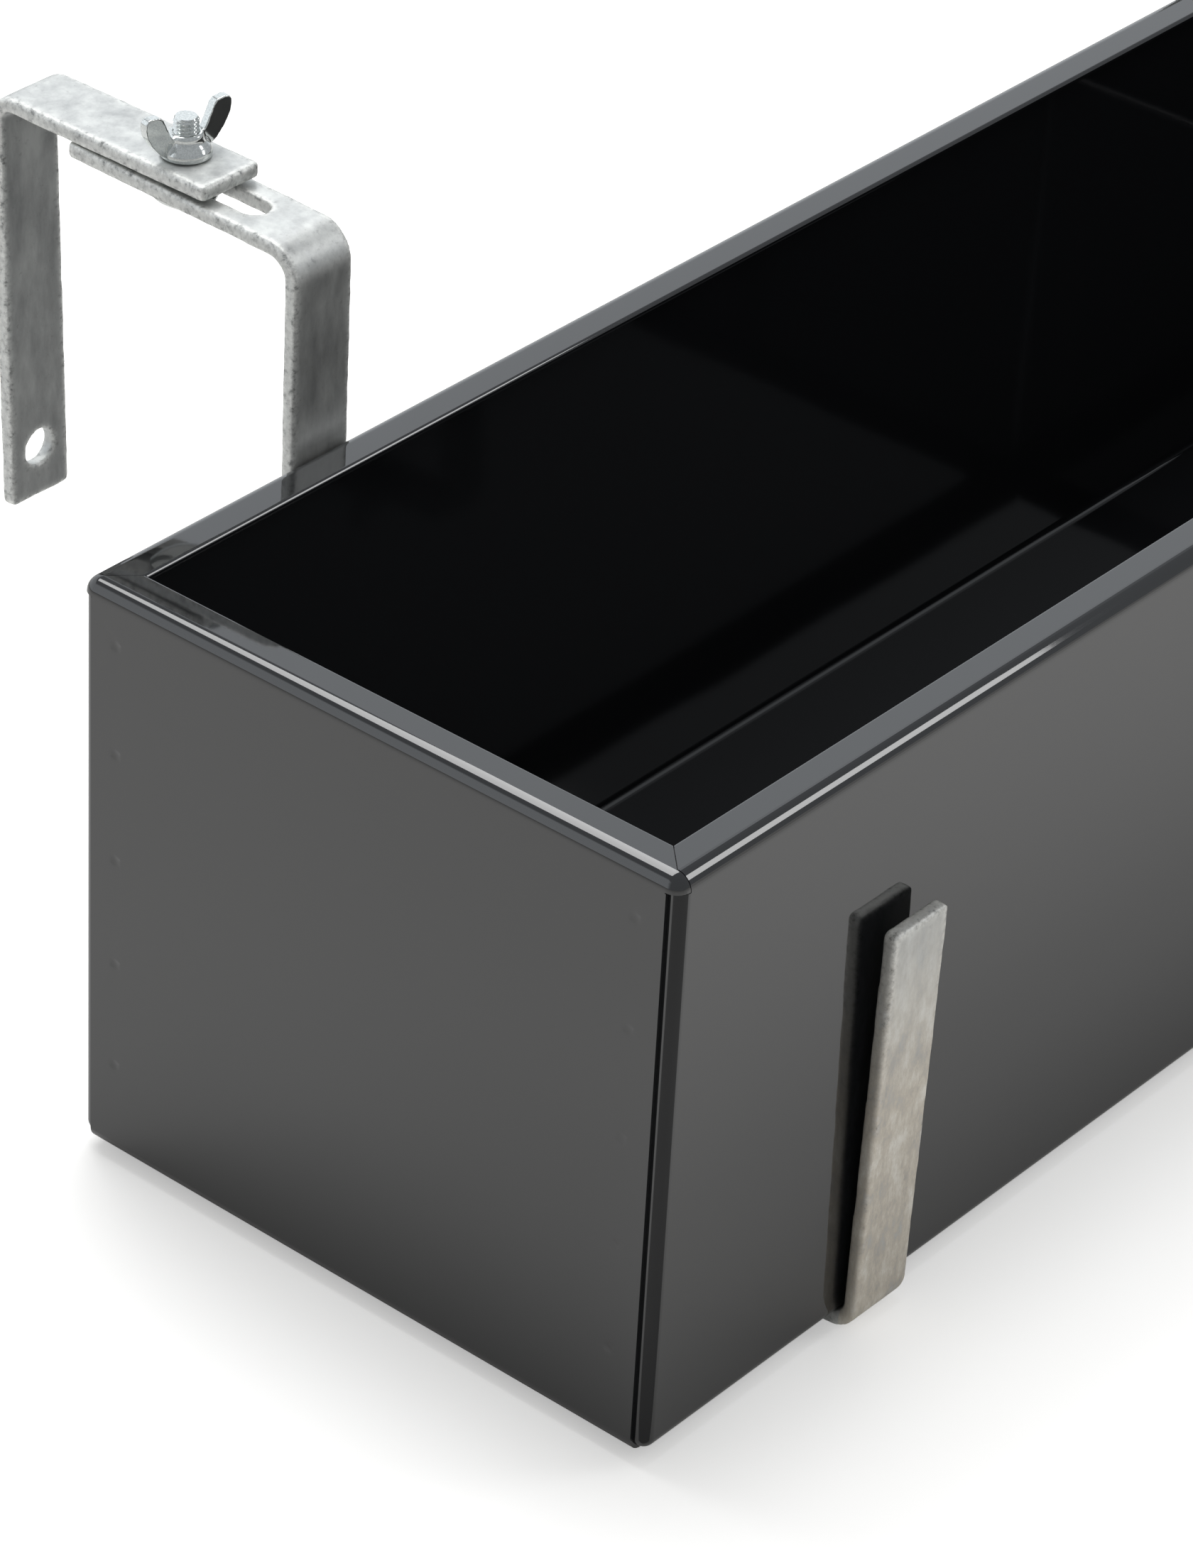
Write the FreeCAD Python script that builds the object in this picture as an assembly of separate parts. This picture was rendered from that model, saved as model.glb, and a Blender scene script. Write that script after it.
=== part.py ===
import FreeCAD, Part
import math
import os

# Window box planter of folded, enamelled sheet steel. It stands in two brackets of flat bar,
# and each bracket has a hook that is clamped to it with a carriage bolt and a wing nut, so
# that the box can hang on a balcony railing. All sizes are in millimetres.
# X runs along the box, -Y is its front, and +Z is up from the surface under the brackets.

Vector = FreeCAD.Vector
ALONG = Vector(1, 0, 0)
BACK = Vector(0, 1, 0)
UP = Vector(0, 0, 1)

# Box: one sheet folded into front, bottom and back, and a panel on each end.
box_length = 800.0
box_width = 225.0
box_height = 200.0
sheet = 1.2
fold_radius = 4.0  # outside radius of the upright and bottom folds
rim_fold_radius = 5.0  # outside radius of the fold at the top of each wall
rim_width = 14.0  # from a wall's outside to the rim's inner edge
hem_width = 8.0  # the rim's inner edge is turned under this far
hem_gap = 0.3  # between the rim and its turned-under hem
mitre_gap = 0.3  # between two rims at a corner
seam_gap = 0.6  # open seam beside an end panel's upright edge
lap_gap = 0.1  # between an end panel and the tabs behind it
side_tab_width = 25.0  # the long walls' tabs behind an end panel
bottom_tab_height = 15.0
end_flange_width = 18.0  # the end panel's return under the bottom
weld_rows = 5
weld_pitch = 37.4
weld_lowest = 32.4  # from the box's bottom to the lowest row
weld_inset = 10.0  # from an end panel's upright edge to its row of spot welds
dent_diameter = 5.0
dent_depth = 0.3

# Brackets: flat bar bent cold, then hot-dip galvanised.
bar_width = 25.0
bar_thickness = 5.0
bar_edge_width = 0.6  # of the worn-off edge between two faces
bar_corner_radius = 2.0  # corners of a bar's cut ends
bracket_inset = 103.0  # from a box end to the bracket's middle
leg_gap = 0.3  # between the box's back and the bracket's leg
lip_gap = 1.3  # between the box's front and the foot of the lip
lip_height = 146.0
lip_lean = 1.1  # degrees, outwards at the top
lip_bend = 5.0  # inside radii of the bends
leg_bend = 3.5
arm_bend = 7.0
hook_bend = 4.0
arm_rise = 65.0  # from the rim to the underside of the arm
arm_slope = 1.25  # degrees, upwards to the back
arm_reach = 89.0  # behind the leg
slot_width = 9.5
slot_front = 18.7  # from the leg's rear face to the slot's front end
slot_rear = 12.0  # from the slot's rear end to the arm's end

# Hooks, which slide on the arms of the brackets.
hook_seat_gap = 0.3  # between the arm's highest edge and the hook lying on it
rail_gap = 117.0  # between the bracket's leg and the top of the hook's leg
hook_arm_length = 87.0  # from the hook's corner to the arm's front end
hook_leg_length = 141.0  # from the hook's corner to the leg's lower end
hook_lean = 1.9  # degrees, inwards at the lower end
hook_hole_radius = 6.0
hook_hole_height = 17.0  # from the leg's lower end
bolt_hole_radius = 4.5
bolt_setback = 19.0  # from the hook arm's front end to the bolt

# Carriage bolt M8 x 25 and its wing nut.
bolt_radius = 4.0
bolt_length = 25.0
bolt_head_radius = 10.0
bolt_head_height = 4.9
bolt_head_rim = 0.8
dome_steps = 2  # the head's dome is a flat middle with cones round it
bolt_neck_width = 8.3
bolt_neck_height = 5.4
bolt_head_drop = 1.0  # below the arm, so that the head clears the slope along the slot
thread_gap = 0.05
nut_base_radius = 8.0
nut_top_radius = 6.25
nut_height = 8.0
wing_span_radius = 15.8
wing_height = 16.0
wing_thickness = 3.4
wing_width = 6.2
wing_foot = 2.4  # height of the wing's lowest point
wing_tip_radius = 2.4
wing_turns = {"left": -9.0, "right": 24.0}  # degrees from the box's length

# Modelling aids.
fillet_limit = 0.45  # largest share of a width that each of its two fillets may take
tab_overlap = 1.0  # how far a tab's strip runs on in the wall that it is folded from
margin = 20.0  # how far a cutting tool stands past what it cuts

# Worked out from the sizes above.
half_sheet = sheet / 2
half_bar = bar_thickness / 2
hem_radius = (hem_gap + sheet) / 2
base = bar_thickness  # the box stands on the brackets' bottom bars
top = base + box_height
rim_low = top - rim_fold_radius
wall_end = sheet + lap_gap + fold_radius
tab_plane = wall_end - fold_radius + half_sheet
seam_edge = fold_radius + seam_gap
leg_centre = box_width + leg_gap + half_bar
leg_rear = leg_centre + half_bar
arm_level = top + arm_rise + half_bar
arm_end = leg_rear + arm_reach
slot_begin = leg_rear + slot_front
slot_end = arm_end - slot_rear


def arm_height(y):
    """Height of the bracket arm's centre line at the place y."""
    return arm_level + (y - leg_centre) * math.tan(math.radians(arm_slope))


hook_level = arm_height(arm_end) + half_bar + hook_seat_gap + half_bar
hook_corner = leg_rear + rail_gap + half_bar
hook_top = hook_level + half_bar
bolt_place = hook_corner - hook_arm_length + bolt_setback
bolt_seat = arm_height(bolt_place) - half_bar - bolt_head_drop


def strip_side(corners, bend_radii, offset, across):
    """Edges of one side of a bent strip, and the two points where that side starts and ends."""
    edges = []
    run = (corners[1] - corners[0]).normalize()
    start = corners[0] + across.cross(run) * offset
    here = start
    for index, radius in enumerate(bend_radii):
        corner = corners[index + 1]
        run_in = (corner - corners[index]).normalize()
        run_out = (corners[index + 2] - corner).normalize()
        normal_in = across.cross(run_in)
        normal_out = across.cross(run_out)
        turn = math.atan2(across.dot(run_in.cross(run_out)), run_in.dot(run_out))
        side = math.copysign(1, turn)
        bend_start = corner - run_in * (radius * math.tan(abs(turn) / 2))
        centre = bend_start + normal_in * (side * radius)
        reach = side * radius - offset
        first = centre - normal_in * reach
        middle = centre - (normal_in + normal_out).normalize() * reach
        last = centre - normal_out * reach
        if first.distanceToPoint(here) > 1e-6:
            edges.append(Part.makeLine(here, first))
        edges.append(Part.Arc(first, middle, last).toShape())
        here = last
    run = (corners[-1] - corners[-2]).normalize()
    finish = corners[-1] + across.cross(run) * offset
    edges.append(Part.makeLine(here, finish))
    return edges, start, finish


def bent_strip(corners, bend_radii, thickness, sweep):
    """Strip of one thickness whose centre line follows the corners, with bends of the given
    centre-line radii, drawn out along sweep."""
    across = Vector(sweep).normalize()
    upper, upper_start, upper_end = strip_side(corners, bend_radii, thickness / 2, across)
    lower, lower_start, lower_end = strip_side(corners, bend_radii, -thickness / 2, across)
    caps = [Part.makeLine(upper_start, lower_start), Part.makeLine(upper_end, lower_end)]
    outline = Part.Wire(Part.__sortEdges__(upper + lower + caps))
    return Part.Face(outline).extrude(sweep)


def sharp_edges(solid, least_angle=40.0):
    """Edges where two faces meet at more than the angle, in degrees."""
    found = []
    for edge in solid.Edges:
        middle = edge.valueAt((edge.FirstParameter + edge.LastParameter) / 2)
        normals = []
        for face in solid.ancestorsOfType(edge, Part.Face):
            u, v = face.Surface.parameter(middle)
            normals.append(face.normalAt(u, v))
        if len(normals) == 2 and math.degrees(normals[0].getAngle(normals[1])) > least_angle:
            found.append(edge)
    return found


def block(low, high):
    """Box between two opposite corners."""
    size = high - low
    return Part.makeBox(size.x, size.y, size.z, low)


def prism(points, low, high):
    """Upright prism over a plan outline of (x, y) points."""
    corners = [Vector(x, y, low) for x, y in points]
    corners.append(corners[0])
    return Part.Face(Part.makePolygon(corners)).extrude(UP * (high - low))


def front_and_back(solid):
    """The solid, and its mirror image on the other long side of the box."""
    return [solid, solid.mirror(Vector(0, box_width / 2, 0), BACK)]


def at_both_ends(solids):
    """The solids, and their mirror images at the other end of the box."""
    middle = Vector(box_length / 2, 0, 0)
    return solids + [solid.mirror(middle, ALONG) for solid in solids]


def lower_corner():
    """Rounded weld that closes the left front corner, where three folds meet."""
    centre = Vector(wall_end, fold_radius, base + fold_radius)
    reach = Vector(fold_radius, fold_radius, fold_radius)
    return Part.makeSphere(fold_radius, centre).common(block(centre - reach, centre))


def rim_line(inwards, start):
    """Centre-line corners of a hemmed rim, from the hem's free edge to the wall's foldline.
    inwards points from the wall's outside into the box."""
    hem_level = top - half_sheet - 2 * hem_radius
    return [
        start + inwards * (rim_width - hem_width) + UP * hem_level,
        start + inwards * (rim_width - half_sheet) + UP * hem_level,
        start + inwards * (rim_width - half_sheet) + UP * (top - half_sheet),
        start + inwards * half_sheet + UP * (top - half_sheet),
    ]


rim_bends = [hem_radius, hem_radius, rim_fold_radius - half_sheet]


def mitre_tool(swap):
    """Plan wedge at the left front corner, past the rims' mitre line. With swap it lies on the
    front rim's side of the line, and without it on the end rim's side."""
    far = rim_width + margin
    gap = mitre_gap / math.sqrt(2)
    points = [(-margin, -margin - gap), (far, far - gap), (-margin, far - gap)]
    if swap:
        points = [(y, x) for x, y in points]
    return prism(points, rim_low, top + margin)


def long_section():
    """Front wall, bottom and back wall with their hemmed rims, cut square to length."""
    front = rim_line(BACK, Vector(wall_end, 0, 0))
    back = rim_line(-BACK, Vector(wall_end, box_width, 0))
    front_foot = Vector(wall_end, half_sheet, base + half_sheet)
    back_foot = Vector(wall_end, box_width - half_sheet, base + half_sheet)
    corners = front + [front_foot, back_foot] + back[::-1]
    foot_bends = [fold_radius - half_sheet] * 2
    bends = rim_bends + foot_bends + rim_bends[::-1]
    return bent_strip(corners, bends, sheet, ALONG * (box_length - 2 * wall_end))


def side_tab():
    """The front wall's tab, folded round the left corner to lie behind the end panel."""
    high = rim_low - mitre_gap
    corners = [
        Vector(wall_end + tab_overlap, half_sheet, high),
        Vector(tab_plane, half_sheet, high),
        Vector(tab_plane, side_tab_width, high),
    ]
    drop = high - (base + fold_radius)
    return bent_strip(corners, [fold_radius - half_sheet], sheet, UP * -drop)


def bottom_tab():
    """The bottom's tab, folded up behind the left end panel."""
    corners = [
        Vector(wall_end + tab_overlap, fold_radius, base + half_sheet),
        Vector(tab_plane, fold_radius, base + half_sheet),
        Vector(tab_plane, fold_radius, base + bottom_tab_height),
    ]
    sweep = BACK * (box_width - 2 * fold_radius)
    return bent_strip(corners, [fold_radius - half_sheet], sheet, sweep)


def trough_body():
    """The folded sheet: long walls and bottom with their rims, tabs and closed lower corners."""
    end_parts = front_and_back(side_tab()) + front_and_back(lower_corner()) + [bottom_tab()]
    body = long_section().multiFuse(at_both_ends(end_parts)).removeSplitter()
    mitres = at_both_ends(front_and_back(mitre_tool(swap=False)))
    return body.cut(mitres)


def upper_corner():
    """Rounded weld above the left front fold, where the two rims' bends meet."""
    centre = Vector(rim_fold_radius, rim_fold_radius, rim_low)
    reach = Vector(rim_fold_radius, rim_fold_radius, 0)
    ball = Part.makeSphere(rim_fold_radius, centre)
    return ball.common(block(centre - reach, centre + UP * rim_fold_radius))


def weld_dents():
    """Shallow dents that the spot welds leave along both upright edges of an end panel."""
    half = dent_diameter / 2
    radius = (half * half + dent_depth * dent_depth) / (2 * dent_depth)
    dents = []
    for row in range(weld_rows):
        height = base + weld_lowest + row * weld_pitch
        centre = Vector(dent_depth - radius, seam_edge + weld_inset, height)
        dents += front_and_back(Part.makeSphere(radius, centre))
    return dents


def end_panel():
    """Left end panel: hemmed and mitred rim, wall, and a return under the bottom."""
    under = base - lap_gap - half_sheet
    rim = rim_line(ALONG, Vector(0, 0, 0))
    corners = rim + [Vector(half_sheet, 0, under), Vector(end_flange_width, 0, under)]
    wrap_bend = fold_radius + lap_gap + half_sheet
    panel = bent_strip(corners, rim_bends + [wrap_bend], sheet, BACK * box_width)
    past_seam = block(
        Vector(-margin, -margin, -margin),
        Vector(rim_width + end_flange_width, seam_edge, rim_low),
    )
    past_rim = block(
        Vector(-margin, -margin, rim_low - mitre_gap),
        Vector(rim_fold_radius, rim_fold_radius, top + margin),
    )
    tools = front_and_back(past_seam) + front_and_back(past_rim)
    tools += front_and_back(mitre_tool(swap=True)) + weld_dents()
    return panel.cut(tools).multiFuse(front_and_back(upper_corner())).removeSplitter()


def worn_bar(corners, inside_radii):
    """Flat bar bent along the corners, with rounded corners at its cut ends and no sharp edge."""
    bends = [radius + half_bar for radius in inside_radii]
    bar = bent_strip(corners, bends, bar_thickness, ALONG * bar_width)
    ends = [corners[0], corners[-1]]
    corner_edges = [
        edge for edge in bar.Edges
        if abs(edge.Length - bar_thickness) < 1e-6
        and min(edge.CenterOfMass.distanceToPoint(end + ALONG * side)
                for end in ends for side in (0, bar_width)) < 1e-3
    ]
    bar = bar.makeFillet(min(bar_corner_radius, bar_width * fillet_limit), corner_edges)
    edge_width = min(bar_edge_width, bar_thickness * fillet_limit)
    return bar.makeChamfer(edge_width, sharp_edges(bar))


def slot_tool(middle):
    """Upright cutter for the long slot in the bracket's arm."""
    radius = slot_width / 2
    low = arm_level - margin
    ends = [slot_begin + radius, slot_end - radius]
    rounds = [
        Part.makeCylinder(radius, 2 * margin, Vector(middle, place, low)) for place in ends
    ]
    between = block(
        Vector(middle - radius, ends[0], low), Vector(middle + radius, ends[1], low + 2 * margin)
    )
    return between.multiFuse(rounds)


def carrier(middle):
    """Bracket bent from one bar: lip, bottom bar, leg and slotted arm."""
    side = middle - bar_width / 2
    lean = math.radians(lip_lean)
    foot = Vector(side, -lip_gap - half_bar, half_bar)
    lip_length = (lip_height - half_bar) / math.cos(lean)
    corners = [
        foot + Vector(0, -math.sin(lean), math.cos(lean)) * lip_length,
        foot,
        Vector(side, leg_centre, half_bar),
        Vector(side, leg_centre, arm_level),
        Vector(side, arm_end, arm_height(arm_end)),
    ]
    return worn_bar(corners, [lip_bend, leg_bend, arm_bend]).cut(slot_tool(middle))


def hook_leg_down():
    """Direction of the hook's leg, from its corner downwards."""
    lean = math.radians(hook_lean)
    return Vector(0, -math.sin(lean), -math.cos(lean))


def rear_hook(middle):
    """Hook that lies on the bracket's arm and grips behind the railing with its leg."""
    side = middle - bar_width / 2
    corner = Vector(side, hook_corner, hook_level)
    leg_end = corner + hook_leg_down() * hook_leg_length
    hook = worn_bar([corner - BACK * hook_arm_length, corner, leg_end], [hook_bend])
    hole_centre = leg_end - hook_leg_down() * hook_hole_height + ALONG * (bar_width / 2)
    through = ALONG.cross(hook_leg_down())
    leg_hole = Part.makeCylinder(
        hook_hole_radius, 2 * margin, hole_centre - through * margin, through
    )
    bolt_hole = Part.makeCylinder(
        bolt_hole_radius, 2 * margin, Vector(middle, bolt_place, hook_level - margin)
    )
    return hook.cut([leg_hole, bolt_hole])


def turned(points):
    """Solid of revolution about Z of an outline of (radius, height) points."""
    outline = [Vector(radius, 0, height) for radius, height in points]
    return Part.Face(Part.makePolygon(outline + [outline[0]])).revolve(Vector(0, 0, 0), UP, 360)


def dome_points():
    """Outline of the bolt head's dome, from the middle of its underside to its rim."""
    dome = bolt_head_height - bolt_head_rim
    radius = (bolt_head_radius ** 2 + dome ** 2) / (2 * dome)
    half_angle = math.asin(bolt_head_radius / radius)
    angles = [half_angle * step / dome_steps for step in range(1, dome_steps + 1)]
    steps = [
        (radius * math.sin(angle), -bolt_head_height + radius * (1 - math.cos(angle)))
        for angle in angles
    ]
    return [(0, steps[0][1])] + steps


def carriage_bolt(middle):
    """Bolt with a domed head under the arm and a square neck in the slot."""
    shank = [
        (bolt_head_radius, 0),
        (bolt_radius, 0),
        (bolt_radius, bolt_length),
        (0, bolt_length),
    ]
    half = bolt_neck_width / 2
    neck = block(Vector(-half, -half, 0), Vector(half, half, bolt_neck_height))
    bolt = turned(dome_points() + shank).fuse(neck).removeSplitter()
    bolt.translate(Vector(middle, bolt_place, bolt_seat))
    return bolt


def wing():
    """One wing of the nut, towards +X: it leans outwards and ends in a rounded tip."""
    corners = [
        Vector(bolt_radius, 0, wing_foot),
        Vector(nut_top_radius, 0, wing_foot),
        Vector(wing_span_radius, 0, wing_height - wing_width / 2),
        Vector(wing_span_radius, 0, wing_height),
        Vector(wing_span_radius - wing_width, 0, wing_height),
        Vector(bolt_radius, 0, nut_height),
    ]
    outline = Part.makePolygon(corners + [corners[0]])
    solid = Part.Face(outline).extrude(BACK * wing_thickness)
    solid.translate(BACK * (-wing_thickness / 2))
    tip_edges = [
        edge for edge in solid.Edges
        if abs(edge.CenterOfMass.z - wing_height) < 1e-6 and edge.CenterOfMass.y ** 2 < 1e-6
    ]
    return solid.makeFillet(min(wing_tip_radius, wing_width * fillet_limit), tip_edges)


def wing_nut(middle, turn):
    """Wing nut on the hook, turned about the bolt."""
    profile = [(0, 0), (nut_base_radius, 0), (nut_top_radius, nut_height), (0, nut_height)]
    near_wing = wing()
    far_wing = wing()
    far_wing.rotate(Vector(0, 0, 0), UP, 180)
    nut = turned(profile).multiFuse([near_wing, far_wing]).removeSplitter()
    nut = nut.cut(Part.makeCylinder(bolt_radius + thread_gap, nut_height + margin))
    nut.rotate(Vector(0, 0, 0), UP, turn)
    nut.translate(Vector(middle, bolt_place, hook_top))
    return nut


def build():
    """Every piece of the planter by its name, with X = 0 at the left end's outside and Y = 0 at
    the box's front."""
    left_end = end_panel()
    right_end = left_end.mirror(Vector(box_length / 2, 0, 0), ALONG)
    pieces = {
        "trough_body": trough_body(),
        "end_panel_left": left_end,
        "end_panel_right": right_end,
    }
    places = {"left": bracket_inset, "right": box_length - bracket_inset}
    for side, middle in places.items():
        pieces["carrier_" + side] = carrier(middle)
        pieces["rear_hook_" + side] = rear_hook(middle)
        pieces["carriage_bolt_" + side] = carriage_bolt(middle)
        pieces["wing_nut_" + side] = wing_nut(middle, wing_turns[side])
    return pieces


def export(pieces):
    """Write the pieces with the origin under the middle of the whole part."""
    whole = Part.makeCompound(list(pieces.values())).optimalBoundingBox(False, False)
    centre = Vector(-box_length / 2, -(whole.YMin + whole.YMax) / 2, 0)
    os.makedirs("parts", exist_ok=True)
    for name, solid in pieces.items():
        solid.translate(centre)
        solid.exportStep("parts/" + name + ".step")
        print(name, "solids", len(solid.Solids), "valid", solid.isValid(),
              "volume", round(solid.Volume))
    print("box front at Y", round(centre.y, 3))


export(build())
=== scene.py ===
# %% [markdown]
# # A window box planter in Blender
#
# The planter is a long box of folded sheet steel under mirror-gloss enamel. Two brackets of bent,
# hot-dip galvanised bar carry it, and a wing nut on a carriage bolt clamps a hook to each bracket.
# The solids of all these pieces come ready from the CAD model. This lesson dresses them: it gives the
# enamel its smooth folds, the bars their lumpy zinc skin, and the bolts and nuts their real shape.

# %% Load the frame
import math

import bmesh
import bpy
import numpy as np
from mathutils import Matrix, Vector, noise


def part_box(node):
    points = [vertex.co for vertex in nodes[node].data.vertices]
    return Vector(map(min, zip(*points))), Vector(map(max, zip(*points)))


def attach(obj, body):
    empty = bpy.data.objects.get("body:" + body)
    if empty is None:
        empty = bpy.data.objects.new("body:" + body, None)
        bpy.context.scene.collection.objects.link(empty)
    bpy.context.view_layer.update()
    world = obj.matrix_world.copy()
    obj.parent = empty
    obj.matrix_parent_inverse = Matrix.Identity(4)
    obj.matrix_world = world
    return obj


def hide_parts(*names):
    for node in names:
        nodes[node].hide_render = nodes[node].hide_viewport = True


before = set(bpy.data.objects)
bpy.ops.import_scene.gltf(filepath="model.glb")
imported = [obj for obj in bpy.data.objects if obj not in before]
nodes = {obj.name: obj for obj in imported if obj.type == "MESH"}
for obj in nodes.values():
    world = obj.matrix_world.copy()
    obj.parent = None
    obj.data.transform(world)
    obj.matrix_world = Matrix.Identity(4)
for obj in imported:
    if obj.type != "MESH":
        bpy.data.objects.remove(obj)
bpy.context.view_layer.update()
MM = 0.001
print("pieces from CAD:", sorted(nodes))

# %% [markdown]
# ## Places that the lesson needs
#
# Every place comes from a CAD node's box, so a piece always sits where its solid does. The trough's
# lowest corner gives the planter's front and foot, and the near end panel's gives its left end.

# %% Places
SIDES = ("left", "right")
box_low, box_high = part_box("trough_body")
end_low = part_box("end_panel_left")[0]
print("box width and height in mm:", [round((box_high - box_low)[i] / MM, 1) for i in (1, 2)])

# %% [markdown]
# ## A helper for colours and one for nodes
#
# Colours are easiest to compare with a picture as sRGB hex values, but a shader works in linear
# light. One function turns the first into the second. A second function adds a shader node, sets its
# inputs and makes its links in one call, which keeps the materials short enough to read. Some nodes
# have several inputs of one name, so an input such as i6 is found by its number instead. A Mix node
# is such a node: i6 and i7 are the two colours that it mixes, and its third output is the result.

# %% Colour and node helpers
MIXED_COLOUR = 2


def linear(hex_colour):
    """An sRGB hex value as a linear RGBA tuple."""
    channels = [int(hex_colour[i:i + 2], 16) / 255 for i in (1, 3, 5)]
    low = [c / 12.92 for c in channels]
    high = [((c + 0.055) / 1.055) ** 2.4 for c in channels]
    return tuple(a if c <= 0.04045 else b for c, a, b in zip(channels, low, high)) + (1.0,)


def grey(value):
    """A linear grey."""
    return (value, value, value, 1.0)


def add_node(tree, kind, settings=None, stops=(), **inputs):
    """Add a node. settings are its own properties, stops are a colour ramp's pairs of position and
    colour, and each input is a value or an output socket."""
    node = tree.nodes.new(kind)
    for name, value in (settings or {}).items():
        setattr(node, name, value)
    while stops and len(node.color_ramp.elements) < len(stops):
        node.color_ramp.elements.new(0.5)
    for number, (position, colour) in enumerate(stops):
        node.color_ramp.elements[number].position = position
        node.color_ramp.elements[number].color = colour
    for name, value in inputs.items():
        key = int(name[1:]) if name[0] == "i" and name[1:].isdigit() else name.replace("_", " ")
        socket = node.inputs[key]
        if isinstance(value, bpy.types.NodeSocket):
            tree.links.new(value, socket)
        else:
            socket.default_value = value
    return node


def new_material(name):
    """An empty material, its node tree and its output node."""
    material = bpy.data.materials.new(name)
    material.use_nodes = True
    tree = material.node_tree
    tree.nodes.clear()
    return material, tree, tree.nodes.new("ShaderNodeOutputMaterial")


print("a mid grey of #808080 is", round(linear("#808080")[0], 3), "in linear light")

# %% [markdown]
# ## Gloss enamel
#
# The sheet is sprayed with a near-black anthracite enamel and baked. The coat flows out almost flat,
# so it mirrors what stands around it, and the eye reads the box by its reflections alone. Two faint
# unevennesses remain: the sheet itself bows by a tenth of a millimetre between its folds, which bends
# long reflections, and the coat has the fine swell that painters call orange peel. Both are too low
# to change the outline, so they are bumps. Baked enamel is glassy, so its index of refraction lies
# above that of a plain paint.

# %% Enamel material
BOW_LENGTH = 90 * MM
BOW_HEIGHT = 0.10 * MM
PEEL_LENGTH = 3 * MM
PEEL_HEIGHT = 0.0008 * MM


def enamel_material():
    """Mirror-gloss enamel on sheet steel."""
    material, tree, output = new_material("gloss_enamel")
    place = add_node(tree, "ShaderNodeTexCoord").outputs["Object"]
    bow = add_node(tree, "ShaderNodeTexNoise", Vector=place, Scale=1 / BOW_LENGTH, Detail=1.0,
                   Roughness=0.4)
    peel = add_node(tree, "ShaderNodeTexNoise", Vector=place, Scale=1 / PEEL_LENGTH, Detail=1.0,
                    Roughness=0.5)
    bowed = add_node(tree, "ShaderNodeBump", Strength=1.0, Distance=BOW_HEIGHT,
                     Height=bow.outputs["Fac"])
    peeled = add_node(tree, "ShaderNodeBump", Strength=1.0, Distance=PEEL_HEIGHT,
                      Height=peel.outputs["Fac"], Normal=bowed.outputs["Normal"])
    shader = add_node(tree, "ShaderNodeBsdfPrincipled", Base_Color=linear("#131416"),
                      Roughness=0.04, IOR=1.8, Normal=peeled.outputs["Normal"])
    tree.links.new(shader.outputs["BSDF"], output.inputs["Surface"])
    return material


enamel = enamel_material()
print("made", enamel.name)

# %% [markdown]
# ## Hot-dip galvanised steel
#
# The bars are dipped in molten zinc at about 450 degrees and drain as they come out. Fresh zinc is a
# light grey with soft clouds where it froze at different speeds. Along the edges it freezes first, so
# it is gritty there, and the edges are also painted paler, which is a painted highlight where rounded
# edges catch the light. In the weather the zinc grows a matt skin of carbonate, which hides part of
# the metal's shine, so the surface is a rough metal that is only two thirds metallic. The edges are
# found by an attribute named edge, which is worked out with the lumps further down.
#
# The front lip stands out furthest, so it also wears a thin brownish bloom in upright streaks. The
# bloom has a function of its own. It is laid on where a place lies in front of the box, and it thins
# out towards the lip's top.

# %% Bloom on the lip
PATCH_LENGTH = 6.5 * MM
LIP_BEHIND = box_low.y - 0.5 * MM
LIP_TOP = 151 * MM
FULL_BLOOM = 0.55 * LIP_TOP
THINNEST_BLOOM = 0.1
THICKEST_BLOOM = 0.9
STREAKED = (1.0, 1.0, 0.4)


def bloom(tree, place):
    """The brownish bloom on the lip: how much of it there is, less towards the top, and its colour."""
    axes = add_node(tree, "ShaderNodeSeparateXYZ", Vector=place)
    on_lip = add_node(tree, "ShaderNodeMath", {"operation": "LESS_THAN"}, i0=axes.outputs["Y"],
                      i1=LIP_BEHIND)
    low_down = add_node(tree, "ShaderNodeMapRange", Value=axes.outputs["Z"], From_Min=LIP_TOP,
                        From_Max=FULL_BLOOM, To_Min=THINNEST_BLOOM, To_Max=THICKEST_BLOOM)
    stretched = add_node(tree, "ShaderNodeMapping", Vector=place, Scale=STREAKED)
    streaks = add_node(tree, "ShaderNodeTexNoise", Vector=stretched.outputs["Vector"],
                       Scale=1 / PATCH_LENGTH, Detail=8.0, Roughness=0.75)
    patchy = add_node(tree, "ShaderNodeMapRange", Value=streaks.outputs["Fac"], From_Min=0.30,
                      From_Max=0.48)
    here = add_node(tree, "ShaderNodeMath", {"operation": "MULTIPLY"}, i0=on_lip.outputs[0],
                    i1=low_down.outputs["Result"])
    amount = add_node(tree, "ShaderNodeMath", {"operation": "MULTIPLY"}, i0=here.outputs[0],
                      i1=patchy.outputs["Result"])
    colour = add_node(tree, "ShaderNodeValToRGB", Fac=streaks.outputs["Fac"],
                      stops=[(0.36, linear("#c0b4a5")), (0.50, linear("#d6cec0")),
                             (0.64, linear("#efebe2"))])
    return amount.outputs[0], colour.outputs["Color"]


print("the bloom lies in front of y =", round(LIP_BEHIND / MM, 1), "mm")

# %% [markdown]
# The zinc itself has three scales: clouds of about a centimetre, spots of two millimetres and a grain
# finer than that. On flat faces the spots only darken the clouds a little. On edges they take over,
# as colour and as pits, and the edge colour is paler overall, which is a painted highlight.

# %% Galvanised material
CLOUD_LENGTH = 9 * MM
CLOUD_STRETCHED = (1.0, 1.0, 0.35)
SPOT_LENGTH = 2.0 * MM
SPOT_SHARE = 0.35
GRAIN_LENGTH = 1.3 * MM
GRAIN_HEIGHT = 0.03 * MM
GRIT_HEIGHT = 0.10 * MM
GLOSSIEST = 0.36
DULLEST = 0.48
DULLER_EDGE = 0.15


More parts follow.
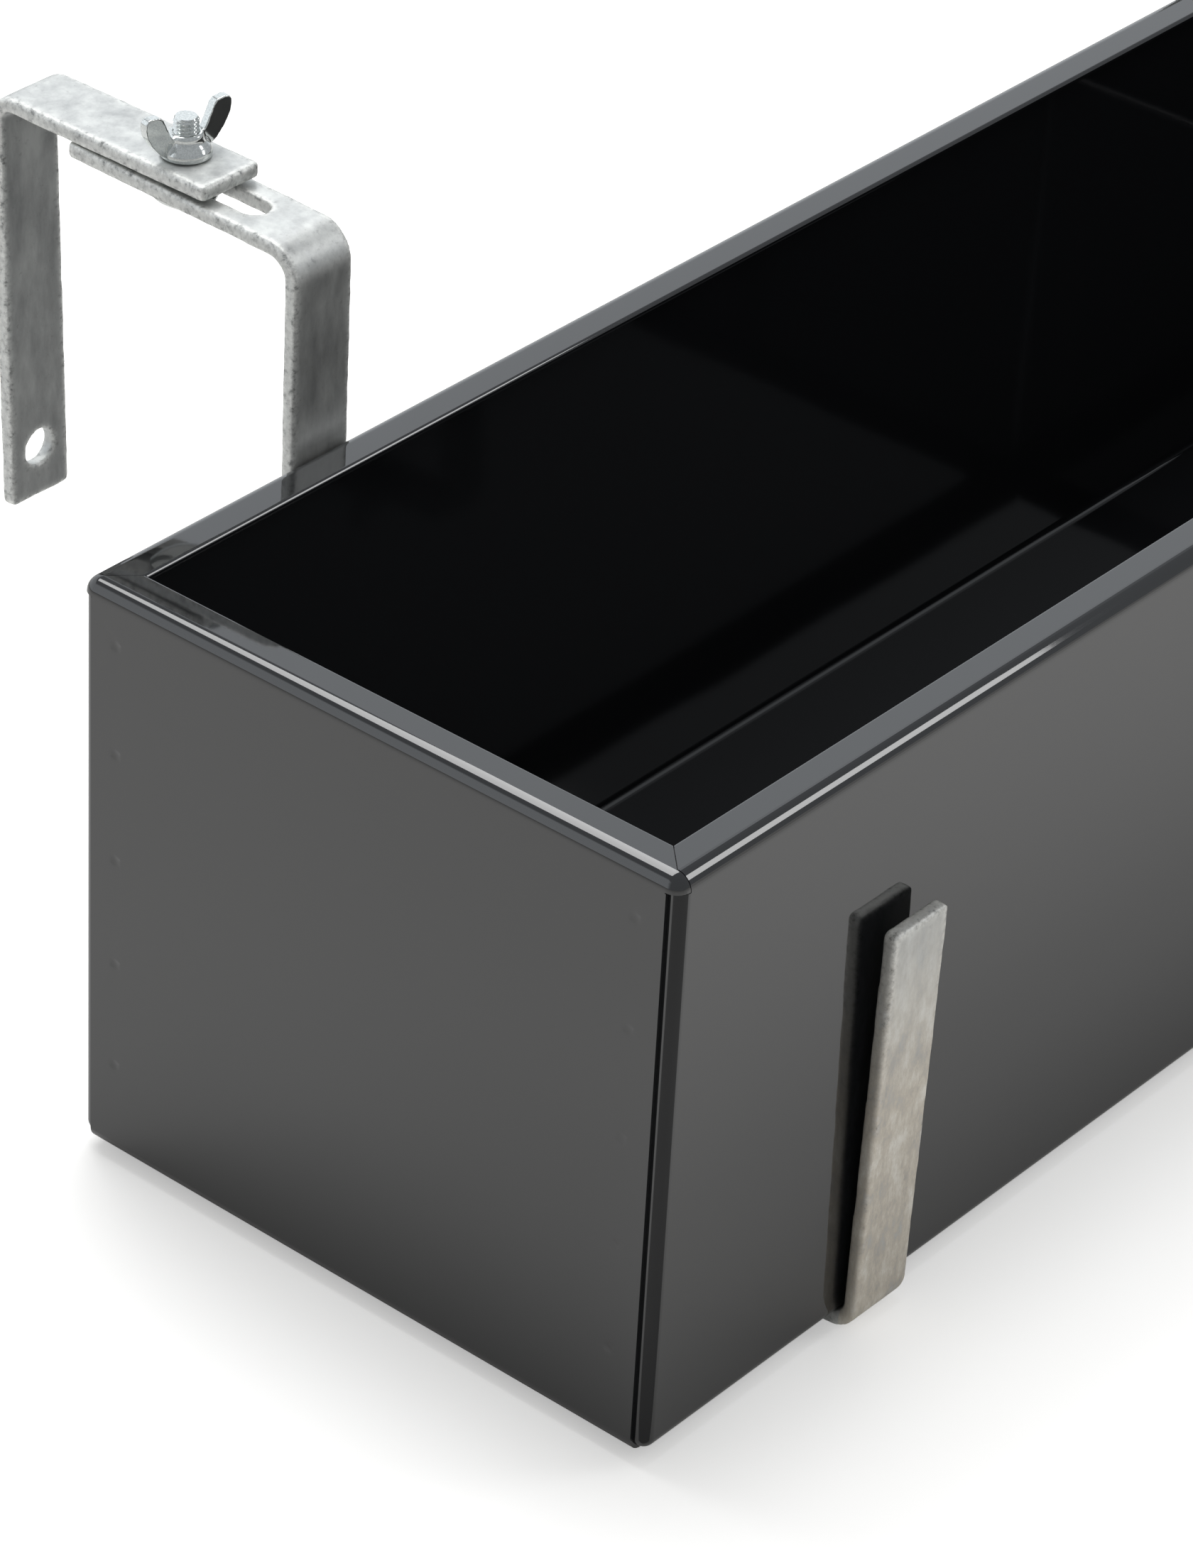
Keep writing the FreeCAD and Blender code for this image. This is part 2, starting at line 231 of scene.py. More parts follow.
def galvanised_material():
    """Hot-dip galvanised flat bar."""
    material, tree, output = new_material("hot_dip_galvanised_steel")
    place = add_node(tree, "ShaderNodeTexCoord").outputs["Object"]
    edge = add_node(tree, "ShaderNodeAttribute", {"attribute_name": "edge"}).outputs["Fac"]
    upright = add_node(tree, "ShaderNodeMapping", Vector=place, Scale=CLOUD_STRETCHED)
    cloud = add_node(tree, "ShaderNodeTexNoise", Vector=upright.outputs["Vector"],
                     Scale=1 / CLOUD_LENGTH, Detail=7.0, Roughness=0.66)
    spots = add_node(tree, "ShaderNodeTexNoise", Vector=place, Scale=1 / SPOT_LENGTH,
                     Detail=5.0, Roughness=0.7)
    grain = add_node(tree, "ShaderNodeTexNoise", Vector=place, Scale=1 / GRAIN_LENGTH,
                     Detail=3.0, Roughness=0.6)
    tone = add_node(tree, "ShaderNodeValToRGB", Fac=cloud.outputs["Fac"],
                    stops=[(0.34, linear("#aeb0b0")), (0.50, linear("#c2c4c3")),
                           (0.66, linear("#d4d6d4"))])
    speck = add_node(tree, "ShaderNodeValToRGB", Fac=spots.outputs["Fac"],
                     stops=[(0.27, grey(0.35)), (0.40, grey(1.0))])
    specked = add_node(tree, "ShaderNodeMix", {"data_type": "RGBA", "blend_type": "MULTIPLY"},
                       i0=SPOT_SHARE, i6=tone.outputs["Color"], i7=speck.outputs["Color"])
    # The edge colour is grit specks and a painted highlight: it is paler than the faces where rounded
    # edges catch the light.
    grit_and_painted_highlight = add_node(tree, "ShaderNodeValToRGB", Fac=spots.outputs["Fac"],
                      stops=[(0.34, linear("#8c8e8d")), (0.44, linear("#cccdcb")),
                             (0.62, linear("#eff0ed"))])
    edged = add_node(tree, "ShaderNodeMix", {"data_type": "RGBA"}, i0=edge,
                     i6=specked.outputs[MIXED_COLOUR], i7=grit_and_painted_highlight.outputs["Color"])
    amount, colour = bloom(tree, place)
    bloomed = add_node(tree, "ShaderNodeMix", {"data_type": "RGBA"}, i0=amount,
                       i6=edged.outputs[MIXED_COLOUR], i7=colour)
    gloss = add_node(tree, "ShaderNodeMapRange", Value=cloud.outputs["Fac"], From_Min=0.3,
                     From_Max=0.7, To_Min=GLOSSIEST, To_Max=DULLEST)
    rough = add_node(tree, "ShaderNodeMath", {"operation": "MULTIPLY_ADD", "use_clamp": True},
                     i0=edge, i1=DULLER_EDGE, i2=gloss.outputs["Result"])
    grained = add_node(tree, "ShaderNodeBump", Strength=1.0, Distance=GRAIN_HEIGHT,
                       Height=grain.outputs["Fac"])
    pitted = add_node(tree, "ShaderNodeBump", Strength=edge, Distance=GRIT_HEIGHT,
                      Height=spots.outputs["Fac"], Normal=grained.outputs["Normal"])
    shader = add_node(tree, "ShaderNodeBsdfPrincipled", Metallic=0.65,
                      Base_Color=bloomed.outputs[MIXED_COLOUR], Roughness=rough.outputs[0],
                      Normal=pitted.outputs["Normal"])
    tree.links.new(shader.outputs["BSDF"], output.inputs["Surface"])
    return material


zinc_bar = galvanised_material()
print("made", zinc_bar.name)

# %% [markdown]
# ## Bright zinc plate
#
# Bolt and nut are plated in a cold bath, which leaves a thin even coat with a bluish shine. It is
# smoother than the dipped bars, so it is a metal of low roughness with a faint frosting.

# %% Zinc plate material
FROST_LENGTH = 0.5 * MM
FROST_HEIGHT = 0.002 * MM


def zinc_plate_material():
    """Bright bluish zinc plate on cast and rolled steel."""
    material, tree, output = new_material("bright_zinc_plate")
    place = add_node(tree, "ShaderNodeTexCoord").outputs["Object"]
    frost = add_node(tree, "ShaderNodeTexNoise", Vector=place, Scale=1 / FROST_LENGTH,
                     Detail=2.0, Roughness=0.5)
    tone = add_node(tree, "ShaderNodeValToRGB", Fac=frost.outputs["Fac"],
                    stops=[(0.35, linear("#cdd1d0")), (0.65, linear("#e2e5e3"))])
    frosted = add_node(tree, "ShaderNodeBump", Strength=1.0, Distance=FROST_HEIGHT,
                       Height=frost.outputs["Fac"])
    shader = add_node(tree, "ShaderNodeBsdfPrincipled", Base_Color=tone.outputs["Color"],
                      Metallic=0.92, Roughness=0.11, Normal=frosted.outputs["Normal"])
    tree.links.new(shader.outputs["BSDF"], output.inputs["Surface"])
    return material


zinc_plate = zinc_plate_material()
print("made", zinc_plate.name)

# %% [markdown]
# ## Pieces that start from a CAD node
#
# A CAD node arrives as loose triangles with flat shading. On gloss enamel every flat strip of a fold
# would show as a stripe. A copy of the mesh has its doubles merged, so that the strips share corners,
# and can then be shaded smooth. The copy also leaves the CAD node itself as it is.

# %% Copy and dress
NODE_MERGE = 0.0005 * MM


def copied_mesh(node, name):
    """A new mesh with a CAD node's triangles, its doubles merged."""
    mesh = nodes[node].data.copy()
    mesh.name = name
    shape = bmesh.new()
    shape.from_mesh(mesh)
    bmesh.ops.remove_doubles(shape, verts=shape.verts, dist=NODE_MERGE)
    shape.to_mesh(mesh)
    shape.free()
    return mesh


def coat(mesh, material):
    """Give a mesh its one material."""
    mesh.materials.clear()
    mesh.materials.append(material)


def new_piece(name, mesh, material):
    """A piece at the origin with one material."""
    coat(mesh, material)
    piece = bpy.data.objects.new(name, mesh)
    bpy.context.scene.collection.objects.link(piece)
    return piece


def hand_over(piece, node, body):
    """Say which body carries the piece and which node it stands for, and hide that node."""
    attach(piece, body)
    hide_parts(node)
    print(piece.name, "stands for", node, "with", len(piece.data.polygons), "faces")


# %% [markdown]
# ## The folded and welded box
#
# The trough is one sheet, folded into front, bottom and back, and the end panels are spot welded onto
# its tabs. Their rims meet in mitres. All of this is in the solids already, with the shallow dents of
# the spot welds, so the three sheets only need smooth folds and their enamel. The Weighted Normal
# modifier turns each corner's normal to the largest face beside it, so the big flat walls stay true
# mirrors right up to the fold.

# %% Enamelled sheets
SHARP_FOLD = math.radians(35)
LARGEST_FACE_ONLY = 100


def enamelled_sheet(node):
    """One sheet of the box, smooth over its folds and crisp at its cut edges."""
    mesh = copied_mesh(node, node + "_sheet")
    mesh.shade_smooth()
    mesh.set_sharp_from_angle(angle=SHARP_FOLD)
    piece = new_piece(node + "_sheet", mesh, enamel)
    weighted = piece.modifiers.new("even_walls", "WEIGHTED_NORMAL")
    weighted.mode = "FACE_AREA"
    weighted.weight = LARGEST_FACE_ONLY
    weighted.keep_sharp = True
    hand_over(piece, node, "planter_box")


for sheet_node in ("trough_body", "end_panel_left", "end_panel_right"):
    enamelled_sheet(sheet_node)

# %% [markdown]
# ## Bars with a skin of zinc
#
# The dip leaves the bars without one sharp edge, and with slow lumps a tenth of a millimetre or so
# high. A copy of the solid is rebuilt in small even squares, its edges are eased by smoothing, and
# each corner then moves inwards along its normal by a smooth noise. Small squares are needed so that
# the noise has corners to move.

# %% Rebuild in squares
def applied(piece):
    """The piece's mesh with its modifiers worked in."""
    depsgraph = bpy.context.evaluated_depsgraph_get()
    depsgraph.update()
    mesh = bpy.data.meshes.new_from_object(piece.evaluated_get(depsgraph))
    mesh.name = piece.data.name
    piece.modifiers.clear()
    piece.data = mesh
    return mesh


def rebuilt(piece, square, rounds, material):
    """Rebuild the piece in even squares, ease its edges and shade it smooth."""
    remesh = piece.modifiers.new("even_squares", "REMESH")
    remesh.mode = "VOXEL"
    remesh.voxel_size = square
    easing = piece.modifiers.new("eased_edges", "SMOOTH")
    easing.factor = 0.5
    easing.iterations = rounds
    mesh = applied(piece)
    mesh.shade_smooth()
    coat(mesh, material)
    return mesh


# %% [markdown]
# Zinc gathers in drops along the edges, so the noise is stronger there. An edge shows in how fast the
# normal turns from one corner to the next: that turn, divided by the way between them, is the curve
# of the surface. It is blurred over a few squares and kept as an attribute for the material.

# %% Find the edges
EDGE_CURVE = 0.5 / MM
EDGE_ROUNDS = 4
EDGE_GAIN = 2


def vertex_values(mesh, name):
    """A vector of every corner of a mesh, one to a row."""
    values = np.empty(len(mesh.vertices) * 3)
    mesh.vertices.foreach_get(name, values)
    return values.reshape(-1, 3)


def edge_amounts(mesh):
    """For every corner, 0 on flat faces and 1 on edges, blurred over a few squares."""
    ends = np.empty(len(mesh.edges) * 2, dtype=np.int32)
    mesh.edges.foreach_get("vertices", ends)
    first, second = ends.reshape(-1, 2).T
    places = vertex_values(mesh, "co")
    normals = vertex_values(mesh, "normal")
    count = len(places)
    way = places[second] - places[first]
    turn = ((normals[second] - normals[first]) * way).sum(axis=1) / (way ** 2).sum(axis=1)
    neighbours = np.bincount(ends, minlength=count)
    amount = np.bincount(ends, weights=np.repeat(turn, 2), minlength=count) / neighbours
    amount = np.clip(amount / EDGE_CURVE, 0, 1)
    for _ in range(EDGE_ROUNDS):
        around = np.bincount(first, weights=amount[second], minlength=count)
        around += np.bincount(second, weights=amount[first], minlength=count)
        amount = (amount + around / neighbours) / 2
    return np.clip(amount * EDGE_GAIN, 0, 1)


# %% [markdown]
# Two noises move the corners. The slow one makes the lumps all over. The finer one bites on the edges
# only, wherever it falls below a level, and what it leaves standing are the drops. Both only ever
# move a corner inwards, so a bar never grows past its solid.

# %% Galvanised bars
SKIN_SQUARE = 0.8 * MM
EASING_ROUNDS = 2
LUMP_LENGTH = 9.0 * MM
LUMP_HEIGHT = 0.15 * MM
CHIP_LENGTH = 4.0 * MM
CHIP_HEIGHT = 0.22 * MM
CHIP_LEVEL = 0.6
CARRIER_SEED = 10.0
HOOK_SEED = 20.0


def add_lumps(mesh, seed):
    """Move every corner inwards by two smooth noises, the finer of them along the edges only."""
    offset = Vector((seed, seed * 2.0, seed * 3.0))
    amounts = edge_amounts(mesh)
    mesh.attributes.new("edge", "FLOAT", "POINT").data.foreach_set("value", amounts)
    normals = [vertex.normal.copy() for vertex in mesh.vertices]
    for vertex, normal, amount in zip(mesh.vertices, normals, amounts):
        lump = (noise.noise(vertex.co / LUMP_LENGTH + offset) - 1.0) / 2
        chip = (noise.noise(vertex.co / CHIP_LENGTH + offset) - CHIP_LEVEL) / 2
        vertex.co += normal * (lump * LUMP_HEIGHT + min(chip, 0.0) * float(amount) * CHIP_HEIGHT)


def galvanised_bar(node, body, seed):
    """One bent bar with its skin of zinc."""
    piece = new_piece(node + "_bar", copied_mesh(node, node + "_bar"), zinc_bar)
    add_lumps(rebuilt(piece, SKIN_SQUARE, EASING_ROUNDS, zinc_bar), seed)
    hand_over(piece, node, body)


for number, side in enumerate(SIDES):
    galvanised_bar("carrier_" + side, side + "_bracket", CARRIER_SEED + number)
    galvanised_bar("rear_hook_" + side, side + "_hook", HOOK_SEED + number)

# %% [markdown]
# ## Carriage bolt
#
# A carriage bolt has a low dome for a head and a square neck under it that the slot keeps from
# turning. Its thread is rolled, and it is a standard M8 thread, so its sizes are written down as the
# standard gives them. A circle is extruded upwards in thin rings, and each corner's distance from the
# axis then follows the thread: the height at which a crest lies climbs by one pitch in a full turn,
# which is all that makes a thread a helix.

# %% Thread
RING_SIDES = 48
RINGS_PER_PITCH = 10
THREAD_RADIUS = 4.0 * MM
THREAD_PITCH = 1.25 * MM
THREAD_DEPTH = 0.65 * MM
CREST_FLAT = 0.12
FLANK_WIDTH = 0.76
TIP_LENGTH = 1.0 * MM
TIP_LOSS = 0.7 * MM


def thread_radius(height, turn, top):
    """Distance from the axis to the thread's surface."""
    phase = (height / THREAD_PITCH - turn) % 1.0
    flank = abs(phase - 0.5) * 2
    sunk = min(1.0, max(0.0, (flank - CREST_FLAT) / FLANK_WIDTH))
    taper = THREAD_RADIUS - TIP_LOSS * max(0.0, 1 - (top - height) / TIP_LENGTH)
    return min(THREAD_RADIUS - THREAD_DEPTH * sunk, taper)


def threaded_shank(shape, low, top):
    """A closed threaded rod from one height to another."""
    ring = bmesh.ops.create_circle(shape, cap_ends=False, segments=RING_SIDES, radius=THREAD_RADIUS,
                                   matrix=Matrix.Translation((0, 0, low)))
    edges = [edge for edge in shape.edges if all(vertex in ring["verts"] for vertex in edge.verts)]
    bmesh.ops.contextual_create(shape, geom=edges)
    corners = list(ring["verts"])
    count = round((top - low) / THREAD_PITCH * RINGS_PER_PITCH)
    for _ in range(count):
        grown = bmesh.ops.extrude_edge_only(shape, edges=edges)["geom"]
        verts = [part for part in grown if isinstance(part, bmesh.types.BMVert)]
        edges = [part for part in grown if isinstance(part, bmesh.types.BMEdge)
                 and part.verts[0] in verts and part.verts[1] in verts]
        bmesh.ops.translate(shape, verts=verts, vec=(0, 0, (top - low) / count))
        corners += verts
    bmesh.ops.contextual_create(shape, geom=edges)
    for corner in corners:
        turn = math.atan2(corner.co.y, corner.co.x) / (2 * math.pi)
        radius = thread_radius(corner.co.z, turn, top)
        flat = Vector((corner.co.x, corner.co.y, 0)).normalized() * radius
        corner.co = Vector((flat.x, flat.y, corner.co.z))


# %% [markdown]
# The head is half an outline spun once round. Its dome is an arc of a large ball, whose radius follows
# from the dome's height and the head's radius. The neck is a cube brought to size, with its four
# upright edges rounded. Each bolt is made on the axis, at heights measured down from its tip, which
# the solid's box gives, and is then moved sideways to its solid's place.

# %% Bolts
BOLT_LENGTH = 25.0 * MM
HEAD_HEIGHT = 4.9 * MM
HEAD_RIM = 0.8 * MM
DOME_STEPS = 8
NECK_HEIGHT = 5.4 * MM
NECK_WIDTH = 8.3 * MM
NECK_CORNER = 0.5 * MM
NECK_CORNER_STEPS = 3
NECK_OVERLAP = 0.2 * MM
BOLT_MERGE = 0.001 * MM
SHARP_TURN = math.radians(40)


def domed_head(shape, low, seat, radius):
    """The bolt's head: a half outline spun once round."""
    dome = seat - low - HEAD_RIM
    ball = (radius ** 2 + dome ** 2) / (2 * dome)
    half = math.asin(radius / ball)
    outline = [(ball * math.sin(half * i / DOME_STEPS),
                low + ball * (1 - math.cos(half * i / DOME_STEPS))) for i in range(DOME_STEPS + 1)]
    outline += [(radius, seat), (0, seat)]
    verts = [shape.verts.new((x, 0, z)) for x, z in outline]
    edges = [shape.edges.new(pair) for pair in zip(verts, verts[1:])]
    bmesh.ops.spin(shape, geom=verts + edges, axis=(0, 0, 1), cent=(0, 0, 0),
                   angle=2 * math.pi, steps=RING_SIDES, use_merge=True)


def square_neck(shape, low):
    """The square neck between head and thread."""
    made = bmesh.ops.create_cube(shape, size=1.0)
    bmesh.ops.scale(shape, verts=made["verts"], vec=(NECK_WIDTH, NECK_WIDTH, NECK_HEIGHT))
    bmesh.ops.translate(shape, verts=made["verts"], vec=(0, 0, low + NECK_HEIGHT / 2))
    upright = [edge for edge in shape.edges if all(vertex in made["verts"] for vertex in edge.verts)
               and abs(edge.verts[0].co.z - edge.verts[1].co.z) > NECK_HEIGHT / 2]
    bmesh.ops.bevel(shape, geom=upright, offset=NECK_CORNER, offset_type="OFFSET",
                    segments=NECK_CORNER_STEPS, profile=0.5, affect="EDGES", material=-1)


def bolt(side):
    """One carriage bolt, in the place of its solid."""
    node = "carriage_bolt_" + side
    low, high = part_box(node)
    seat = high.z - BOLT_LENGTH
    shape = bmesh.new()
    domed_head(shape, seat - HEAD_HEIGHT, seat, (high.x - low.x) / 2)
    square_neck(shape, seat)
    threaded_shank(shape, seat + NECK_HEIGHT - NECK_OVERLAP, high.z)
    bmesh.ops.translate(shape, verts=shape.verts,
                        vec=((low.x + high.x) / 2, (low.y + high.y) / 2, 0))
    bmesh.ops.remove_doubles(shape, verts=shape.verts, dist=BOLT_MERGE)
    bmesh.ops.recalc_face_normals(shape, faces=shape.faces)
    mesh = bpy.data.meshes.new(node + "_rolled")
    shape.to_mesh(mesh)
    shape.free()
    mesh.shade_smooth()
    mesh.set_sharp_from_angle(angle=SHARP_TURN)
    piece = new_piece(node + "_rolled", mesh, zinc_plate)
    hand_over(piece, node, side + "_bolt")


for side in SIDES:
    bolt(side)

# %% [markdown]
# ## Wing nut
#
# The nut is cast in one, so its wings grow out of the body with soft corners everywhere. The body is
# a spun outline, each wing is a flat outline extruded to its thickness, and rebuilding all of them
# in small squares melts them into one skin, much as the casting does. Both outlines are distances
# from the nut's axis and heights above its foot, in millimetres.

# %% Wing nuts
NUT_SQUARE = 0.2 * MM
NUT_EASING = 5
WING_THICKNESS = 3.0 * MM
WING_TURNS = {"left": -9.0, "right": 24.0}
NUT_OUTLINE = [(4.05, 0.0), (7.2, 0.0), (7.9, 0.5), (8.1, 1.5), (7.9, 2.6), (7.3, 3.6), (6.5, 4.3),
               (5.9, 5.0), (5.6, 6.0), (5.5, 7.0), (5.2, 7.7), (4.6, 8.0), (4.05, 8.0)]
WING_OUTLINE = [(4.6, 1.2), (7.4, 1.2), (10.4, 3.0), (13.4, 6.6), (15.4, 10.2), (15.9, 12.8),
                (15.8, 14.6), (15.0, 15.7), (13.6, 16.0), (10.6, 15.6), (9.4, 14.4), (7.9, 11.0),
                (6.6, 8.2), (5.8, 7.2), (4.6, 7.0)]


def spun_body(shape):
    """The nut's body, with its hole."""
    verts = [shape.verts.new((x * MM, 0, z * MM)) for x, z in NUT_OUTLINE]
    edges = [shape.edges.new((verts[i], verts[(i + 1) % len(verts)])) for i in range(len(verts))]
    bmesh.ops.spin(shape, geom=verts + edges, axis=(0, 0, 1), cent=(0, 0, 0),
                   angle=2 * math.pi, steps=RING_SIDES, use_merge=True)


def wing(shape, turn):
    """One wing, turned about the nut's axis."""
    verts = [shape.verts.new((x * MM, -WING_THICKNESS / 2, z * MM)) for x, z in WING_OUTLINE]
    face = shape.faces.new(verts)
    grown = bmesh.ops.extrude_face_region(shape, geom=[face])["geom"]
    moved = [part for part in grown if isinstance(part, bmesh.types.BMVert)]
    bmesh.ops.translate(shape, verts=moved, vec=(0, WING_THICKNESS, 0))
    bmesh.ops.rotate(shape, verts=verts + moved, cent=(0, 0, 0), matrix=Matrix.Rotation(turn, 3, "Z"))


def nut(side, turn):
    """One wing nut, in the place of its solid."""
    node = "wing_nut_" + side
    low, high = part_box(node)
    shape = bmesh.new()
    spun_body(shape)
    wing(shape, turn)
    wing(shape, turn + math.pi)
    bmesh.ops.recalc_face_normals(shape, faces=shape.faces)
    bmesh.ops.translate(shape, verts=shape.verts,
                        vec=((low.x + high.x) / 2, (low.y + high.y) / 2, low.z))
    mesh = bpy.data.meshes.new(node + "_cast")
    shape.to_mesh(mesh)
    shape.free()
    piece = new_piece(node + "_cast", mesh, zinc_plate)
    rebuilt(piece, NUT_SQUARE, NUT_EASING, zinc_plate)
    hand_over(piece, node, side + "_nut")


for side, wing_turn in WING_TURNS.items():
    nut(side, math.radians(wing_turn))

# %% [markdown]
# ## Floor, room and lamps
#
# Product pictures are taken on white paper. The paper is a plain matt white that takes the shadow,
# with a little light of its own for camera rays only, so that it ends up pure white away from the
# planter while the enamel mirrors the paper as it is lit.

# %% Floor
FLOOR_HALF = 5.0
PAPER_WHITE = 0.88
PAPER_LIFT = 0.40


def floor_material():
    """White paper that keeps a soft shadow."""
    material, tree, output = new_material("white_paper")
    path = add_node(tree, "ShaderNodeLightPath")
    paper = add_node(tree, "ShaderNodeBsdfDiffuse", Color=grey(PAPER_WHITE))
    lift = add_node(tree, "ShaderNodeMath", {"operation": "MULTIPLY"},
                    i0=path.outputs["Is Camera Ray"], i1=PAPER_LIFT)
    glow = add_node(tree, "ShaderNodeEmission", Color=grey(1.0), Strength=lift.outputs[0])
    both = add_node(tree, "ShaderNodeAddShader", i0=paper.outputs[0], i1=glow.outputs[0])
    tree.links.new(both.outputs[0], output.inputs["Surface"])
    return material


floor_mesh = bpy.data.meshes.new("paper")
floor_shape = bmesh.new()
bmesh.ops.create_grid(floor_shape, x_segments=1, y_segments=1, size=FLOOR_HALF)
floor_shape.to_mesh(floor_mesh)
floor_shape.free()
floor = new_piece("paper", floor_mesh, floor_material())
print("paper of", 2 * FLOOR_HALF, "m each way")

# %% [markdown]
# A dark card paints a dark reflection into the upright fold at the near corner. It is a painted
# reflection: the card is hidden from the camera, from diffuse light and from shadows, so only mirrors
# see it. It is a fan that lies before the near corner, where from the camera's side hardly anything
# but the upright fold mirrors it. Its headings are degrees from the planter's length. Its felt is a
# mid grey, because black felt would make the painted line darker than it is in life.

# %% Card for a painted dark reflection
CARD_LENGTH = 0.31
CARD_HEIGHT = 1 * MM
CARD_HEADINGS = (165, 200, 230, 260, 294)
PAINTED_REFLECTION_GREY = 0.30


def painted_reflection_card():
    """A fan-shaped card that only mirrors see, which paints a dark reflection into the fold."""
    material, tree, output = new_material("painted_reflection_card")
    felt = add_node(tree, "ShaderNodeBsdfDiffuse", Color=grey(PAINTED_REFLECTION_GREY))
    tree.links.new(felt.outputs[0], output.inputs["Surface"])
    shape = bmesh.new()
    corner = Vector((end_low.x, box_low.y, CARD_HEIGHT))
    angles = [math.radians(heading) for heading in CARD_HEADINGS]
    rim = [corner + Vector((math.cos(angle), math.sin(angle), 0)) * CARD_LENGTH for angle in angles]
    shape.faces.new([shape.verts.new(place) for place in [corner] + rim])
    mesh = bpy.data.meshes.new("painted_reflection_card")
    shape.to_mesh(mesh)
    shape.free()
    card = new_piece("painted_reflection_card", mesh, material)
    # Hidden from the camera, diffuse light and shadows, the card shows only as a painted dark
    # reflection in the fold.
    card.visible_camera = False
    card.visible_diffuse = False
    card.visible_shadow = False
    print("card reaches", round(CARD_LENGTH / MM), "mm from the near corner")


painted_reflection_card()

# %% [markdown]
# The room matters to the enamel more than to anything else, because the enamel shows hardly any
# colour of its own. Behind the planter stands a white backdrop. Above it and in front of it the
# studio is dim. What the mirror sees is worked out from the direction of its ray: bright when the
# ray heads backwards and stays low, dim otherwise. A direction has a length of 1, so its Z runs from
# 0 for a level ray to 1 for one straight up.

# %% Room
DIM = 0.45
BRIGHT = 1.25
SKY = 0.43
BACKDROP_ENDS = 0.70
BACKDROP_FULL = 0.60
BACKWARDS_FULL = 0.4


def make_world():
    """White for the camera, a backdrop and a dim studio for mirrors, plain light for the rest."""
    world = bpy.data.worlds.new("studio")
    bpy.context.scene.world = world
    world.use_nodes = True
    tree = world.node_tree
    tree.nodes.clear()
    output = tree.nodes.new("ShaderNodeOutputWorld")
    path = add_node(tree, "ShaderNodeLightPath")
    heading = add_node(tree, "ShaderNodeTexCoord").outputs["Generated"]
    axes = add_node(tree, "ShaderNodeSeparateXYZ", Vector=heading)
    low = add_node(tree, "ShaderNodeMapRange", {"interpolation_type": "SMOOTHSTEP"},
                   Value=axes.outputs["Z"], From_Min=BACKDROP_ENDS, From_Max=BACKDROP_FULL)
    behind = add_node(tree, "ShaderNodeMapRange", {"interpolation_type": "SMOOTHSTEP"},
                      Value=axes.outputs["Y"], From_Min=0.0, From_Max=BACKWARDS_FULL)
    backdrop = add_node(tree, "ShaderNodeMath", {"operation": "MULTIPLY"},
                        i0=low.outputs["Result"], i1=behind.outputs["Result"])
    mirrored = add_node(tree, "ShaderNodeMapRange", Value=backdrop.outputs[0], To_Min=DIM,
                        To_Max=BRIGHT)
    room = add_node(tree, "ShaderNodeBackground", Color=linear("#eef3f8"),
                    Strength=mirrored.outputs["Result"])
    sky = add_node(tree, "ShaderNodeBackground", Color=linear("#faf9f6"), Strength=SKY)
    white = add_node(tree, "ShaderNodeBackground", Color=grey(1.0), Strength=1.0)
    lit = add_node(tree, "ShaderNodeMixShader", i0=path.outputs["Is Glossy Ray"],
                   i1=sky.outputs[0], i2=room.outputs[0])
    seen = add_node(tree, "ShaderNodeMixShader", i0=path.outputs["Is Camera Ray"],
                    i1=lit.outputs[0], i2=white.outputs[0])
    tree.links.new(seen.outputs[0], output.inputs["Surface"])


make_world()
print("made the room")

# %% [markdown]
# Three softboxes light the set. The key lamp hangs behind and above, and throws the shadow forwards.
# Its mirror image is the bright line along the rim of the near end, and the second one, a tall strip
# at the right, makes the broad band along the front rim. The third hangs straight above and lights
# the paper and the bars' matt skin. It is hidden from glossy rays, because the enamel would mirror it.
# A mirror image is as bright as the lamp's surface, so each lamp's power is worked out from its
# brightness and size.

# %% Lamps
AIM = Vector((-0.3, -0.05, 0.15))


